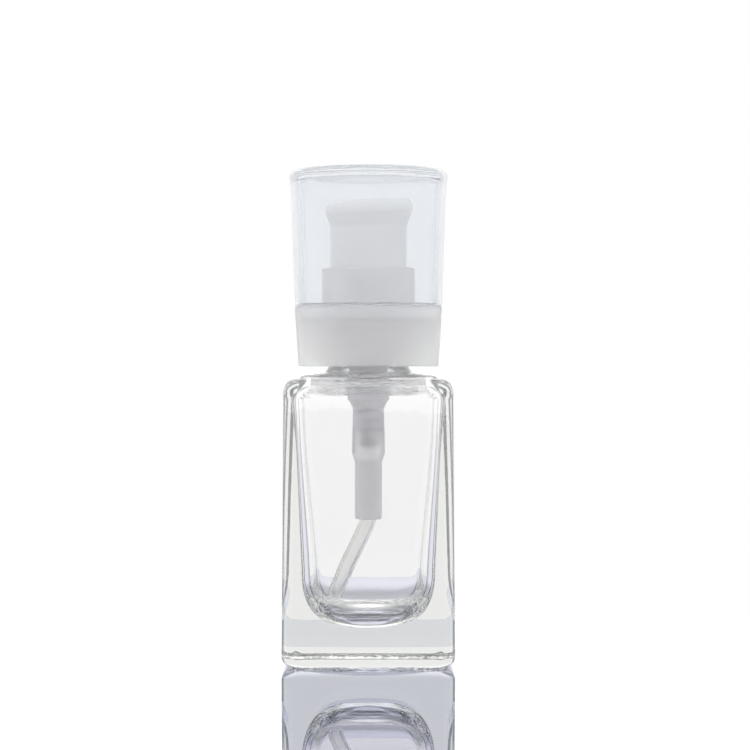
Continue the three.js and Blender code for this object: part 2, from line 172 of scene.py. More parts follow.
# Where most of a noise texture's values lie, for a number's range and for a colour's.

NOISE_RANGE = (0.3, 0.7)
NOISE_COLOUR_RANGE = (0.35, 0.65)

# A Mix node's sockets by their places, because those for numbers and for colours share their names.

MIX_NUMBERS = (2, 3)
MIX_NUMBER_RESULT = 0
MIX_COLOURS = (6, 7)
MIX_COLOUR_RESULT = 2

# How bright the surround is for each kind of path to it. What the camera sees straight is 1.

MIRRORED_LEVEL = 1.65
OFF_FLOOR_LOW_LEVEL = 1.27
OFF_FLOOR_HIGH_LEVEL = 0.54
SCATTERED_IN_GLASS_LEVEL = 1.0
SCATTERED_LEVEL = 1.2
OPEN_LEVEL = 1.0
FRONT_GAP_DEPTH = 0.85
OVERHEAD_LEVEL = 1.4
UNDERFOOT_LEVEL = 0.8
WARM_WHITE = (0.965, 0.97, 0.915, 1)

# The studio, in metres.

SHEET_HALF = 0.3
SHEET_BEHIND = 0.088
SHEET_TOP = -0.00005
CAMERA_PLACE = (0.00134, -0.496, 0.0589)
CAMERA_LENS = 115
CAMERA_SENSOR = 36
BOUNCES = 256


def heights(node):
    """A CAD node's lowest and highest points, in millimetres."""
    low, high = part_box(node)
    return low.z / MM, high.z / MM


def radius_of(node):
    """Half a CAD node's width along X, in millimetres."""
    low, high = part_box(node)
    return (high.x - low.x) / 2 / MM


# Outlines and meshes


def outline(corners, arc_steps=6, closed=True):
    """Points of an outline of straight sides with its rounded corners as arcs."""
    points = []
    for i, corner in enumerate(corners):
        here = Vector(corner[:2])
        is_end = not closed and i in (0, len(corners) - 1)
        if len(corner) == 2 or is_end:
            points.append(here)
            continue
        radius = corner[2]
        back = (Vector(corners[i - 1][:2]) - here).normalized()
        ahead = (Vector(corners[(i + 1) % len(corners)][:2]) - here).normalized()
        half = back.angle(ahead) / 2
        centre = here + (back + ahead).normalized() * radius / math.sin(half)
        start = here + back * radius / math.tan(half) - centre
        sweep = math.copysign(math.pi - 2 * half, ahead.x * back.y - ahead.y * back.x)
        for k in range(arc_steps + 1):
            points.append(centre + Matrix.Rotation(sweep * k / arc_steps, 2) @ start)
    return points


def split_long_sides(points, longest):
    """The same line with more points, so that no side is longer than longest(its middle)."""
    finer = [points[0]]
    for start, end in zip(points, points[1:]):
        count = math.ceil((end - start).length / longest((start + end) / 2))
        finer += [start.lerp(end, (k + 1) / count) for k in range(count)]
    return finer


def bridge(bm, low, high):
    """Faces between two rings. A ring of one vertex is a pole."""
    count = max(len(low), len(high))
    if count == 1:
        return
    for k in range(count):
        after = (k + 1) % count
        if len(low) == 1:
            bm.faces.new((low[0], high[after], high[k]))
        elif len(high) == 1:
            bm.faces.new((low[k], low[after], high[0]))
        else:
            bm.faces.new((low[k], low[after], high[after], high[k]))


def mesh_of(rings, closed):
    """A mesh through rings of points in millimetres."""
    bm = bmesh.new()
    made = [[bm.verts.new(Vector(p) * MM) for p in ring] for ring in rings]
    for low, high in zip(made, made[1:]):
        bridge(bm, low, high)
    if closed:
        bridge(bm, made[-1], made[0])
    return bm


def face_outward(bm):
    """Turns a closed mesh's faces outward.

    Blender's own guess can turn a cup inside out, and the sign of the volume shows that.
    """
    bmesh.ops.recalc_face_normals(bm, faces=bm.faces)
    if bm.calc_volume(signed=True) < 0:
        bmesh.ops.reverse_faces(bm, faces=bm.faces)


def finished(name, bm, material, sharp_degrees=SHARP_DEGREES):
    """An object from a bmesh, smooth except at its sharp edges."""
    face_outward(bm)
    mesh = bpy.data.meshes.new(name)
    bm.to_mesh(mesh)
    bm.free()
    mesh.shade_smooth()
    mesh.set_sharp_from_angle(angle=math.radians(sharp_degrees))
    piece = bpy.data.objects.new(name, mesh)
    bpy.context.scene.collection.objects.link(piece)
    piece.data.materials.append(material)
    weighted = piece.modifiers.new("even_shading", "WEIGHTED_NORMAL")
    weighted.keep_sharp = True
    return piece


def turned_mesh(points, segments, shape=None, closed=True):
    """A mesh turned about +Z. shape(angle, radius, height) moves each point, and gives back all three."""
    rings = []
    for point in points:
        if abs(point.x) < ON_AXIS:
            rings.append([(0.0, 0.0, point.y)])
            continue
        ring = []
        for k in range(segments):
            place = (FULL_TURN * k / segments, point.x, point.y)
            angle, radius, height = shape(*place) if shape else place
            ring.append((radius * math.cos(angle), radius * math.sin(angle), height))
        rings.append(ring)
    return mesh_of(rings, closed)


def turned(name, corners, material, segments=96, arc_steps=6):
    """A piece turned about +Z from a closed outline."""
    return finished(name, turned_mesh(outline(corners, arc_steps), segments), material)


def swept_mesh(path, section_radii, segments):
    """A round tube or rod along points in millimetres. Two radii make a tube with a bore."""
    rings_of = {radius: [] for radius in section_radii}
    side = Vector((0, 1, 0))
    for i, point in enumerate(path):
        along = (path[min(i + 1, len(path) - 1)] - path[max(i - 1, 0)]).normalized()
        across = side.cross(along).normalized()
        other = along.cross(across)
        for radius, rings in rings_of.items():
            turns = [FULL_TURN * k / segments for k in range(segments)]
            rings.append([point + radius * (math.cos(t) * across + math.sin(t) * other) for t in turns])
        side = other
    outer = rings_of[section_radii[0]]
    if len(section_radii) == 1:
        return mesh_of([[path[0]], *outer, [path[-1]]], closed=False)
    return mesh_of(outer + rings_of[section_radii[1]][::-1], closed=True)


def joined(piece, tool_mesh, operation):
    """Adds a bmesh to a piece or cuts it away, for good."""
    face_outward(tool_mesh)
    data = bpy.data.meshes.new("tool")
    tool_mesh.to_mesh(data)
    tool_mesh.free()
    tool = bpy.data.objects.new("tool", data)
    bpy.context.scene.collection.objects.link(tool)
    cut = piece.modifiers.new("cut", "BOOLEAN")
    cut.operation = operation
    cut.object = tool
    cut.solver = "EXACT"
    with bpy.context.temp_override(object=piece, active_object=piece):
        bpy.ops.object.modifier_move_to_index(modifier=cut.name, index=0)
        bpy.ops.object.modifier_apply(modifier=cut.name)
    bpy.data.objects.remove(tool)
    bpy.data.meshes.remove(data)


def place(piece, body, node, slot):
    """The piece stands for one CAD node: it rides on that node's body, and the CAD node is hidden."""
    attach(piece, body)
    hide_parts(node)
    return piece


# Materials


def new_material(name):
    """A material with a Principled shader, as (material, its nodes, its links, the shader)."""
    material = bpy.data.materials.new(name)
    material.use_nodes = True
    tree = material.node_tree
    return material, tree.nodes, tree.links, tree.nodes["Principled BSDF"]


def object_noise(nodes, links, scale, detail=3.0, stretch=(1, 1, 1)):
    """A noise texture in the object's own space, with its size per metre."""
    coordinates = nodes.new("ShaderNodeTexCoord")
    mapping = nodes.new("ShaderNodeMapping")
    mapping.inputs["Scale"].default_value = stretch
    noise = nodes.new("ShaderNodeTexNoise")
    noise.inputs["Scale"].default_value = scale
    noise.inputs["Detail"].default_value = detail
    links.new(coordinates.outputs["Object"], mapping.inputs["Vector"])
    links.new(mapping.outputs["Vector"], noise.inputs["Vector"])
    return noise


def ranged(nodes, links, source, low, high, socket):
    """Feeds a socket with the source's usual range stretched to low and high."""
    span = nodes.new("ShaderNodeMapRange")
    span.inputs["From Min"].default_value = NOISE_RANGE[0]
    span.inputs["From Max"].default_value = NOISE_RANGE[1]
    span.inputs["To Min"].default_value = low
    span.inputs["To Max"].default_value = high
    links.new(source.outputs["Fac"], span.inputs["Value"])
    links.new(span.outputs["Result"], socket)


def coloured(nodes, links, source, dark, light, socket):
    """Feeds a colour socket with a blend from dark to light by source."""
    ramp = nodes.new("ShaderNodeValToRGB")
    for element, position, colour in zip(ramp.color_ramp.elements, NOISE_COLOUR_RANGE, (dark, light)):
        element.position = position
        element.color = (*colour, 1)
    links.new(source.outputs["Fac"], ramp.inputs["Fac"])
    links.new(ramp.outputs["Color"], socket)


def bumped(nodes, links, source, shader, strength, distance, below=None):
    """A bump from source on the shader, over another bump if there is one."""
    bump = nodes.new("ShaderNodeBump")
    bump.inputs["Strength"].default_value = strength
    bump.inputs["Distance"].default_value = distance
    links.new(source.outputs["Fac"], bump.inputs["Height"])
    if below:
        links.new(below.outputs["Normal"], bump.inputs["Normal"])
    links.new(bump.outputs["Normal"], shader.inputs["Normal"])
    return bump


def maths(nodes, links, operation, first, second=0.0, third=0.0):
    """A maths node on sockets or numbers. Gives its output socket."""
    node = nodes.new("ShaderNodeMath")
    node.operation = operation
    for socket, value in zip(node.inputs, (first, second, third)):
        if isinstance(value, bpy.types.NodeSocket):
            links.new(value, socket)
        else:
            socket.default_value = value
    return node.outputs["Value"]


def eased(nodes, links, value, start, end, low, high):
    """Goes smoothly from low to high as value goes from start to end."""
    node = nodes.new("ShaderNodeMapRange")
    node.interpolation_type = "SMOOTHSTEP"
    ends = ("From Min", start), ("From Max", end), ("To Min", low), ("To Max", high)
    for socket, number in ends:
        node.inputs[socket].default_value = number
    links.new(value, node.inputs["Value"])
    return node.outputs["Result"]


def flint_glass():
    """Clear flint glass, pressed: faint waves all over, fine ripple, a grey-green tint where it is thick."""
    material, nodes, links, shader = new_material("flint_glass")
    shader.inputs["Base Color"].default_value = (1, 1, 1, 1)
    shader.inputs["Transmission Weight"].default_value = 1.0
    shader.inputs["IOR"].default_value = 1.52
    shader.inputs["Roughness"].default_value = 0.0
    waves = object_noise(nodes, links, scale=60, detail=1.0, stretch=(1, 1, 0.4))
    ripple = object_noise(nodes, links, scale=420, detail=2.0)
    below = bumped(nodes, links, waves, shader, strength=0.25, distance=0.3 * MM)
    bumped(nodes, links, ripple, shader, strength=0.06, distance=0.1 * MM, below=below)
    tint = nodes.new("ShaderNodeVolumeAbsorption")
    tint.inputs["Color"].default_value = (0.735, 0.75, 0.72, 1)
    tint.inputs["Density"].default_value = 20.0
    links.new(tint.outputs["Volume"], nodes["Material Output"].inputs["Volume"])
    return material


def milky_plastic(name, dark, light, clearness, rough, edge_clearness=None):
    """Natural moulded plastic that lets light through and blurs what is behind it.

    With an edge clearness it gets milkier where it is seen at a slant, through more of its wall.
    """
    material, nodes, links, shader = new_material(name)
    shader.inputs["IOR"].default_value = 1.49
    cloud = object_noise(nodes, links, scale=130, detail=2.0, stretch=(1, 1, 0.35))
    grain = object_noise(nodes, links, scale=2600, detail=2.0)
    coloured(nodes, links, cloud, dark, light, shader.inputs["Base Color"])
    ranged(nodes, links, grain, rough * 0.9, rough * 1.1, shader.inputs["Roughness"])
    bumped(nodes, links, grain, shader, strength=0.05, distance=0.02 * MM)
    if edge_clearness is None:
        shader.inputs["Transmission Weight"].default_value = clearness
    else:
        facing = nodes.new("ShaderNodeLayerWeight").outputs["Facing"]
        slant = eased(nodes, links, facing, 0.4, 0.85, clearness, edge_clearness)
        links.new(slant, shader.inputs["Transmission Weight"])
    return material


def steel(name, rough):
    """Bright drawn stainless steel with fine lines."""
    material, nodes, links, shader = new_material(name)
    shader.inputs["Metallic"].default_value = 1.0
    lines = object_noise(nodes, links, scale=900, detail=3.0, stretch=(1, 1, 5))
    coloured(nodes, links, lines, (0.50, 0.51, 0.53), (0.66, 0.67, 0.69), shader.inputs["Base Color"])
    ranged(nodes, links, lines, rough - 0.06, rough + 0.08, shader.inputs["Roughness"])
    bumped(nodes, links, lines, shader, strength=0.1, distance=0.02 * MM)
    return material


GLASS = flint_glass()
HEAD_PLASTIC = milky_plastic(
    "head_plastic", (0.975, 0.97, 0.965), (0.985, 0.98, 0.975), clearness=0.4, rough=0.5
)
PUMP_PLASTIC = milky_plastic(
    "pump_plastic", (0.975, 0.97, 0.97), (0.985, 0.98, 0.98), clearness=0.75, rough=0.42
)
HOUSING_PLASTIC = milky_plastic(
    "housing_plastic", (0.93, 0.925, 0.94), (0.95, 0.945, 0.955), clearness=0.81, rough=0.6
)
COLLAR_PLASTIC = milky_plastic(
    "collar_plastic", (0.972, 0.972, 0.97), (0.984, 0.984, 0.982), clearness=0.87, rough=0.42
)
CAP_PLASTIC = milky_plastic(
    "cap_plastic",
    (0.918, 0.934, 0.957),
    (0.933, 0.949, 0.967),
    clearness=0.93,
    rough=0.06,
    edge_clearness=0.25,
)
TUBE_PLASTIC = milky_plastic(
    "tube_plastic", (0.99, 0.99, 0.975), (0.995, 0.995, 0.985), clearness=0.9, rough=0.2
)
SEAL_PLASTIC = milky_plastic(
    "seal_plastic", (0.80, 0.79, 0.82), (0.86, 0.85, 0.88), clearness=0.3, rough=0.5
)
STEEL = steel("bright_steel", rough=0.22)


# Glass bottle


def rounded_square(angle, half, corner):
    """Radius at an angle of a square of that half width with round corners. A full corner makes a circle."""
    corner = min(corner, half)
    centre = half - corner
    across, along = sorted((abs(math.cos(angle)), abs(math.sin(angle))))
    if half * across <= centre * along:
        return half / along
    toward = centre * (across + along)
    return toward + math.sqrt(toward ** 2 - 2 * centre ** 2 + corner ** 2)


def smooth(share):
    """0 to 1 with easy ends."""
    share = min(1.0, max(0.0, share))
    return share * share * (3 - 2 * share)


def thread_rise(angle, height, offset_turns):
    """How much of a helical ridge's height stands at this place, from 0 to 1."""
    root_half, crest_half, fade = 0.95, 0.4, 0.08
    most = 0.0
    for whole in range(-1, 3):
        turns = angle / FULL_TURN + whole - offset_turns
        if not 0 <= turns <= THREAD_TURNS:
            continue
        away = abs(height - THREAD_LOW - THREAD_PITCH * turns)
        flank = smooth((root_half - away) / (root_half - crest_half))
        ends = smooth(turns / fade) * smooth((THREAD_TURNS - turns) / fade)
        most = max(most, flank * ends)
    return most


def bottle_angles():
    """Angles round the bottle: wide steps on the flat faces, fine steps round the corners."""
    steps = [(30.0, 12), (38.0, 12), (52.0, 36), (60.0, 12), (90.0, 12)]
    angles = []
    for quarter in range(4):
        start = 0.0
        for end, count in steps:
            angles += [math.radians(quarter * 90 + start + (end - start) * k / count) for k in range(count)]
            start = end
    return angles


def cavity_bowl():
    """The deep round of the cavity's floor, from the wall in, as (half width, height) points."""
    count = 36
    points = []
    for k in range(count, -1, -1):
        turn = math.pi / 2 * k / count
        out = math.sin(turn) ** (2 / BOWL_POWER)
        down = math.cos(turn) ** (2 / BOWL_POWER)
        half = BOWL_FLAT + (CAVITY_LOW_HALF - BOWL_FLAT) * out
        points.append(Vector((half, CAVITY_FLOOR + BOWL_DEPTH * (1 - down))))
    return points + [Vector((0.0, CAVITY_FLOOR))]


def push_up():
    """The shallow dome under the base, from the middle out, as (half width, height) points."""
    count = 10
    points = []
    for k in range(count):
        share = k / count
        rise = (1 + math.cos(math.pi * share)) / 2
        points.append(Vector((PUSH_UP_HALF * share, PUSH_UP_HEIGHT * rise)))
    return points


def bottle_profile(base_half, land, threads):
    """Points from under the base up to the neck's land, and points from there down to the cavity's floor."""
    outside = outline(
        [
            (PUSH_UP_HALF, 0),
            (base_half, 0, HEEL_ROUND),
            (SHOULDER_HALF, SHOULDER_HEIGHT, SHOULDER_ROUND),
            (SLOPE_HALF, SLOPE_HEIGHT, SLOPE_ROUND),
            (NECK_ROOT_RADIUS, NECK_ROOT_LOW, 1.4),
            (NECK_ROOT_RADIUS, NECK_ROOT_HIGH, 0.8),
            (NECK_RADIUS, NECK_LOW, 0.8),
            (NECK_RADIUS, land, 0.45),
            (NECK_BORE, land, 0.4),
            (NECK_BORE, CAVITY_CEILING + 0.5, 1.0),
            (CAVITY_TOP_HALF, CAVITY_CEILING - 0.2, 3.2),
            (CAVITY_LOW_HALF, CAVITY_FLOOR + BOWL_DEPTH),
        ],
        arc_steps=12,
        closed=False,
    )

    def longest(middle):
        in_thread = threads[0] < middle.y < threads[1] and middle.x > NECK_BORE + 1
        return THREAD_STEP if in_thread else 4.0

    top = max(range(len(outside)), key=lambda i: (outside[i].y, outside[i].x))
    bearing = [Vector((PUSH_UP_HALF + STIPPLE_STEP * (k + 0.5), 0)) for k in range(STIPPLE_RINGS)]
    outer = split_long_sides(push_up() + outside[:1] + bearing + outside[1 : top + 1], longest)
    inner = split_long_sides(outside[top + 1 :] + cavity_bowl()[1:], longest)
    return outer, inner


def outer_corner(half, height, base_half):
    """The outside's corner round. Over the shoulder it grows until the neck is a circle."""
    if height < BODY_MIDDLE:
        return OUTER_CORNER + 0.5 * (base_half - half)
    squareness = smooth((half - NECK_ROOT_RADIUS - 1.2) / 6.5)
    return half + (OUTER_CORNER - half) * squareness


def inner_corner(half, height):
    """The cavity's corner round: wider towards the floor, and a circle at the neck's bore."""
    up_the_wall = smooth((height - 16) / 34)
    wall_corner = CAVITY_LOW_CORNER + (CAVITY_TOP_CORNER - CAVITY_LOW_CORNER) * up_the_wall
    if height > 40:
        squareness = smooth((half - NECK_BORE) / 7)
        return half + (wall_corner - half) * squareness
    return wall_corner + 0.45 * max(CAVITY_LOW_HALF - half, 0)


def bottle_ring(point, corner, is_threaded=False, dents=None):
    """The bottle's skin all round at one point of its profile. Random dents stipple it."""
    if point.x < ON_AXIS:
        return [(0, 0, point.y)]
    ring = []
    for angle in bottle_angles():
        radius = rounded_square(angle, point.x, corner)
        if is_threaded:
            radius += THREAD_DEPTH * thread_rise(angle, point.y, 0)
        dip = STIPPLE_DEPTH * dents.random() if dents else 0
        ring.append((radius * math.cos(angle), radius * math.sin(angle), point.y + dip))
    return ring


def glass_bottle():
    """One closed skin: up the outside, over the neck's land, down the bore and round the cavity."""
    base_half = radius_of("glass_bottle")
    land = heights("glass_bottle")[1]
    threads = 61.0, land - 0.3
    outer, inner = bottle_profile(base_half, land, threads)
    dents = random.Random(5)
    rings = []
    for point in outer:
        corner = outer_corner(point.x, point.y, base_half)
        is_threaded = threads[0] < point.y < threads[1]
        is_stippled = point.y < 0.3 and point.x > PUSH_UP_HALF
        rings.append(bottle_ring(point, corner, is_threaded, dents if is_stippled else None))
    for point in inner:
        rings.append(bottle_ring(point, inner_corner(point.x, point.y)))
    return finished("bottle_glass", mesh_of(rings, closed=False), GLASS, sharp_degrees=60)


# Pump


def neck_gasket():
    """The soft washer between the glass neck and the barrel's flange."""
    low, high = heights("neck_gasket")
    outer = radius_of("neck_gasket")
    inner = BARREL_RADIUS + SLIDING_GAP
    corners = [(outer, low, 0.15), (outer, high, 0.15), (inner, high, 0.15), (inner, low, 0.15)]
    return turned("neck_washer", corners, SEAL_PLASTIC)


def pump_housing():
    """The stepped barrel, with its flange, piston bore, spring chamber, ball cage, tail and vent hole."""
    low, high = heights("pump_housing")
    flange = heights("neck_gasket")[1] + RESTING_GAP
    flange_top = flange + FLANGE_THICK
    ball = sum(heights("valve_ball")) / 2
    seat = heights("return_spring")[0] - RESTING_GAP
    tube = radius_of_tube() + RESTING_GAP
    corners = [
        (TAIL_RADIUS, low, 0.4),
        (TAIL_RADIUS, TAIL_TOP, 1.0),
        (CAGE_RADIUS, CAGE_LOW, 0.8),
        (CHAMBER_RADIUS, CHAMBER_TOP, 1.2),
        (BARREL_RADIUS, BARREL_LOW, 0.8),
        (BARREL_RADIUS, flange, 0.25),
        (radius_of("pump_housing"), flange, 0.15),
        (radius_of("pump_housing"), flange_top, 0.15),
        (RIM_RADIUS, flange_top, 0.1),
        (RIM_RADIUS, high, 0.15),
        (RIM_BORE, high, 0.15),
        (RIM_BORE, flange_top, 0.1),
        (BARREL_BORE, flange_top, 0.2),
        (BARREL_BORE, BARREL_LOW + 0.2, 0.6),
        (CHAMBER_BORE, CHAMBER_TOP + 0.2, 0.6),
        (CHAMBER_BORE, seat, 0.08),
        (OUTLET_BORE, seat - 0.1, 0.08),
        (OUTLET_BORE, ball + 1.45, 0.08),
        (CAGE_BORE, ball + 1.25, 0.2),
        (CAGE_BORE, ball - 0.35, 0.2),
        (INLET_BORE, ball - 1.2, 0.1),
        (INLET_BORE, TAIL_TOP + 0.6, 0.1),
        (tube, TAIL_TOP + 0.3, 0.05),
        (tube, low + 1.6, 0.4),
        (tube + 0.45, low, 0.1),
    ]
    piece = turned("pump_barrel", corners, HOUSING_PLASTIC)
    vent = swept_mesh([Vector((3, 0, VENT_HEIGHT)), Vector((6, 0, VENT_HEIGHT))], [VENT_RADIUS], 24)
    joined(piece, vent, "DIFFERENCE")
    return piece


def radius_of_tube():
    """Half the dip tube's width, which is its box's depth."""
    low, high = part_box("dip_tube")
    return (high.y - low.y) / 2 / MM


def dip_tube():
    """Straight in the housing's tail, then one easy bend towards the bottom corner."""
    low, high = heights("dip_tube")
    bend_top = Vector((0, 0, 29.5))
    top_pull = Vector((0, 0, 26.5))
    end_pull = Vector((-6.6, 0, 17.5))
    end = Vector((-6.9, 0, low + 0.06))
    path = [Vector((0, 0, high)), Vector((0, 0, (high + bend_top.z) / 2))]
    steps = 40
    for k in range(steps + 1):
        t = k / steps
        path.append(
            bend_top * (1 - t) ** 3
            + top_pull * 3 * t * (1 - t) ** 2
            + end_pull * 3 * t * t * (1 - t)
            + end * t ** 3
        )
    return finished("suction_tube", swept_mesh(path, [radius_of_tube(), TUBE_BORE], 40), TUBE_PLASTIC)


def valve_ball():
    """The steel ball that closes the inlet."""
    low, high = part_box("valve_ball")
    bm = bmesh.new()
    bmesh.ops.create_icosphere(bm, subdivisions=4, radius=(high.z - low.z) / 2)
    bmesh.ops.translate(bm, vec=(low + high) / 2, verts=bm.verts)
    return finished("inlet_valve_ball", bm, STEEL)


def return_spring():
    """A coil with closed ends."""
    low, high = heights("return_spring")
    coil = radius_of("return_spring") - SPRING_WIRE
    closed = 2 * SPRING_WIRE + 0.05
    travel = high - low - 2 * SPRING_WIRE - 2 * closed
    steps = 32
    path = []
    for k in range(SPRING_TURNS * steps + 1):
        turn = k / steps
        ends = min(turn, 1) + max(turn - SPRING_TURNS + 1, 0)
        open_share = min(1, max(0, (turn - 1) / (SPRING_TURNS - 2)))
        z = low + SPRING_WIRE + closed * ends + travel * open_share
        angle = FULL_TURN * turn
        path.append(Vector((coil * math.cos(angle), coil * math.sin(angle), z)))
    piece = finished("stem_spring", swept_mesh(path, [SPRING_WIRE - 0.01], 12), STEEL)
    place(piece, "pump", "return_spring", "steel")
    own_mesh(piece)
    return piece


def lower_stem():
    """The valve rod: a foot in the spring, a head under the piston, and a rod with a flat for the liquid."""
    low, high = heights("lower_stem")
    head_low, head_top = low + 2, low + 4.6
    rod = STEM_BORE - SLIDING_GAP
    corners = [
        (0, low),
        (1.2, low, 0.2),
        (1.5, head_low, 0.1),
        (ROD_HEAD_RADIUS, head_low, 0.1),
        (ROD_HEAD_RADIUS, head_top - 0.4, 0.1),
        (1.9, head_top, 0.1),
        (rod, head_top, 0.1),
        (rod, high, 0.2),
        (0, high),
    ]
    piece = turned("valve_rod", corners, PUMP_PLASTIC, 64)
    flat = bmesh.new()
    bmesh.ops.create_cube(flat, size=MM)
    size = Matrix.Diagonal((1, 4, high - head_top + 1.8, 1))
    middle = Vector((rod + 0.1, 0, (high + head_top) / 2 + 1.1)) * MM
    flat.transform(Matrix.Translation(middle) @ size)
    joined(piece, flat, "DIFFERENCE")
    return piece


def piston_seal():
    """The piston: a sleeve on the stem with a thin lip at each end."""
    low, high = heights("piston_seal")
    lip = BARREL_BORE - 0.07
    corners = [
        (2.7, low + 0.4, 0.1),
        (lip - 0.1, low, 0.05),
        (lip, low + 0.1, 0.03),
        (PISTON_WAIST, low + 1.2, 0.4),
        (PISTON_WAIST, low + 3.1, 0.4),
        (lip, high - 0.1, 0.03),
        (lip - 0.15, high, 0.05),
        (2.6, high - 0.75, 0.2),
        (STEM_RADIUS + 0.1, high - 0.75, 0.1),
        (STEM_RADIUS + 0.1, low + 0.4, 0.1),
    ]
    return turned("sliding_piston", corners, SEAL_PLASTIC)


def upper_stem():
    """The hollow stem, with a cross hole that the piston opens and shuts."""
    low, high = heights("upper_stem")
    collar = heights("piston_seal")[1] + 0.75
    corners = [
        (STEM_RADIUS, low, 0.1),
        (STEM_RADIUS, collar, 0.1),
        (radius_of("upper_stem"), collar, 0.1),
        (radius_of("upper_stem"), collar + 0.7, 0.1),
        (STEM_RADIUS, collar + 0.7, 0.2),
        (STEM_RADIUS, high, 0.3),
        (STEM_BORE, high, 0.1),
        (STEM_BORE, low, 0.1),
    ]
    piece = turned("hollow_stem", corners, PUMP_PLASTIC, 72)
    port = swept_mesh([Vector((-3, 0, low + 0.9)), Vector((3, 0, low + 0.9))], [PORT_RADIUS], 24)
    joined(piece, port, "DIFFERENCE")
    return piece


def stem_guide():
    """The domed boss that guides the stem and holds the piston in."""
    low, high = heights("stem_guide")
    flange_top = heights("pump_housing")[1]
    flange = flange_top - GUIDE_FLANGE_THICK
    inner = GUIDE_RADIUS - GUIDE_WALL
    bore = STEM_RADIUS + SLIDING_GAP
    corners = [
        (BARREL_BORE - 0.1, low, 0.3),
        (BARREL_BORE - 0.1, flange, 0.05),
        (radius_of("stem_guide"), flange, 0.1),
        (radius_of("stem_guide"), flange_top, 0.1),
        (GUIDE_RADIUS, flange_top, 0.15),
        (GUIDE_RADIUS, high, 2.0),
        (bore, high, 0.15),
        (bore, high - 1, 0.15),
        (inner, high - 2.4, 0.8),
        (inner, flange_top, 0.3),
        (bore, flange - 0.4, 0.2),
        (bore, low, 0.15),
    ]
    return turned("stem_guide_boss", corners, PUMP_PLASTIC)


# Closure, collar and cap


def screw_closure():
    """The threaded skirt, the ledge over the flange and the round well that the head's skirt dips into."""
    low, high = heights("screw_closure")
    flange = heights("neck_gasket")[1] + RESTING_GAP
    land = heights("glass_bottle")[1]
    ledge = flange + FLANGE_THICK + 0.75
    pocket = radius_of("pump_housing") + 0.2
    well_floor = ledge + 0.95
    neck_hole = NECK_RADIUS + 0.1
    seat = DECK_HEIGHT - DECK_THICK - RESTING_GAP
    corners = [
        (radius_of("screw_closure"), low, 0.3),
        (radius_of("screw_closure"), seat, 0.15),
        (WELL_RADIUS, seat, 0.1),
        (WELL_RADIUS, high, 0.45),
        (WELL_BORE, high, 0.25),
        (WELL_BORE, well_floor, 0.5),
        (WELL_HOLE, well_floor, 0.2),
        (WELL_HOLE, ledge, 0.1),
        (pocket, ledge, 0.2),
        (pocket, flange - RESTING_GAP, 0.1),
        (neck_hole, flange - 0.15, 0.08),
        (neck_hole, land + 0.25, 0.08),
        (CLOSURE_BORE, land - 0.2, 0.2),
        (CLOSURE_BORE, low, 0.2),
    ]
    threaded_low, threaded_high = low + 0.3, land - 0.3

    def longest(middle):
        in_thread = middle.x < CLOSURE_BORE + 0.01 and threaded_low < middle.y < threaded_high
        return THREAD_STEP if in_thread else 50

    def threaded(angle, radius, height):
        if abs(radius - CLOSURE_BORE) < 0.01 and height < threaded_high:
            radius -= THREAD_DEPTH * thread_rise(angle, height, CLOSURE_THREAD_START)
        return angle, radius, height

    points = outline(corners)
    points = split_long_sides(points + points[:1], longest)[:-1]
    return finished("threaded_closure", turned_mesh(points, 128, threaded), PUMP_PLASTIC)


def collar_shell():
    """The tapered outer shell, with a lip for the cap, a deck and a sleeve pressed on the closure."""
    low, high = heights("collar_shell")
    top = radius_of("collar_shell")
    lip = top - SHELL_WALL
    deck_low = DECK_HEIGHT - DECK_THICK
    well = WELL_RADIUS + SLIDING_GAP
    sleeve = radius_of("screw_closure") + SLIDING_GAP
    sleeve_low = deck_low - SLEEVE_HEIGHT
    corners = [
        (SHELL_LOW_RADIUS, low, 0.3),
        (top, high, 0.25),
        (lip, high, 0.2),
        (lip, DECK_HEIGHT, 0.3),
        (well, DECK_HEIGHT, 0.15),
        (well, deck_low, 0.1),
        (sleeve, deck_low, 0.1),
        (sleeve, sleeve_low, 0.15),
        (sleeve + SLEEVE_WALL, sleeve_low, 0.15),
        (sleeve + SLEEVE_WALL, deck_low, 0.3),
        (lip - 0.2, deck_low, 0.5),
        (SHELL_LOW_RADIUS - SHELL_WALL, low, 0.2),
    ]
    return turned("outer_collar", corners, COLLAR_PLASTIC, 144)


def overcap():
    """The clear cup upside down, wider towards its roof, with a thin spigot that sits in the collar."""
    low, high = heights("overcap")
    shell = radius_of("collar_shell")
    top = radius_of("overcap")
    seat = heights("collar_shell")[1] + SLIDING_GAP
    spigot = shell - SHELL_WALL - SLIDING_GAP
    spigot_bore = spigot - SPIGOT_WALL
    ceiling = high - CAP_ROOF
    corners = [
        (spigot, low, 0.2),
        (spigot, seat, 0.08),
        (shell, seat, 0.15),
        (CAP_FLARE_RADIUS, CAP_FLARE_HEIGHT, CAP_FLARE_ROUND),
        (top + 0.1, high, CAP_TOP_ROUND),
        (0, high),
        (0, ceiling),
        (top - CAP_WALL, ceiling, CAP_TOP_ROUND),
        (CAP_FLARE_RADIUS - CAP_WALL, CAP_FLARE_HEIGHT, CAP_FLARE_ROUND),
        (shell - CAP_WALL, seat + 0.35, 0.3),
        (spigot_bore, seat - 0.25, 0.3),
        (spigot_bore, low, 0.2),
    ]
    return turned("translucent_overcap", corners, CAP_PLASTIC, segments=360, arc_steps=16)


# Actuator


def on_spout(along, height):
    """A point at a distance along the spout's direction."""
    return Vector((along * math.cos(SPOUT_ANGLE), along * math.sin(SPOUT_ANGLE), height))


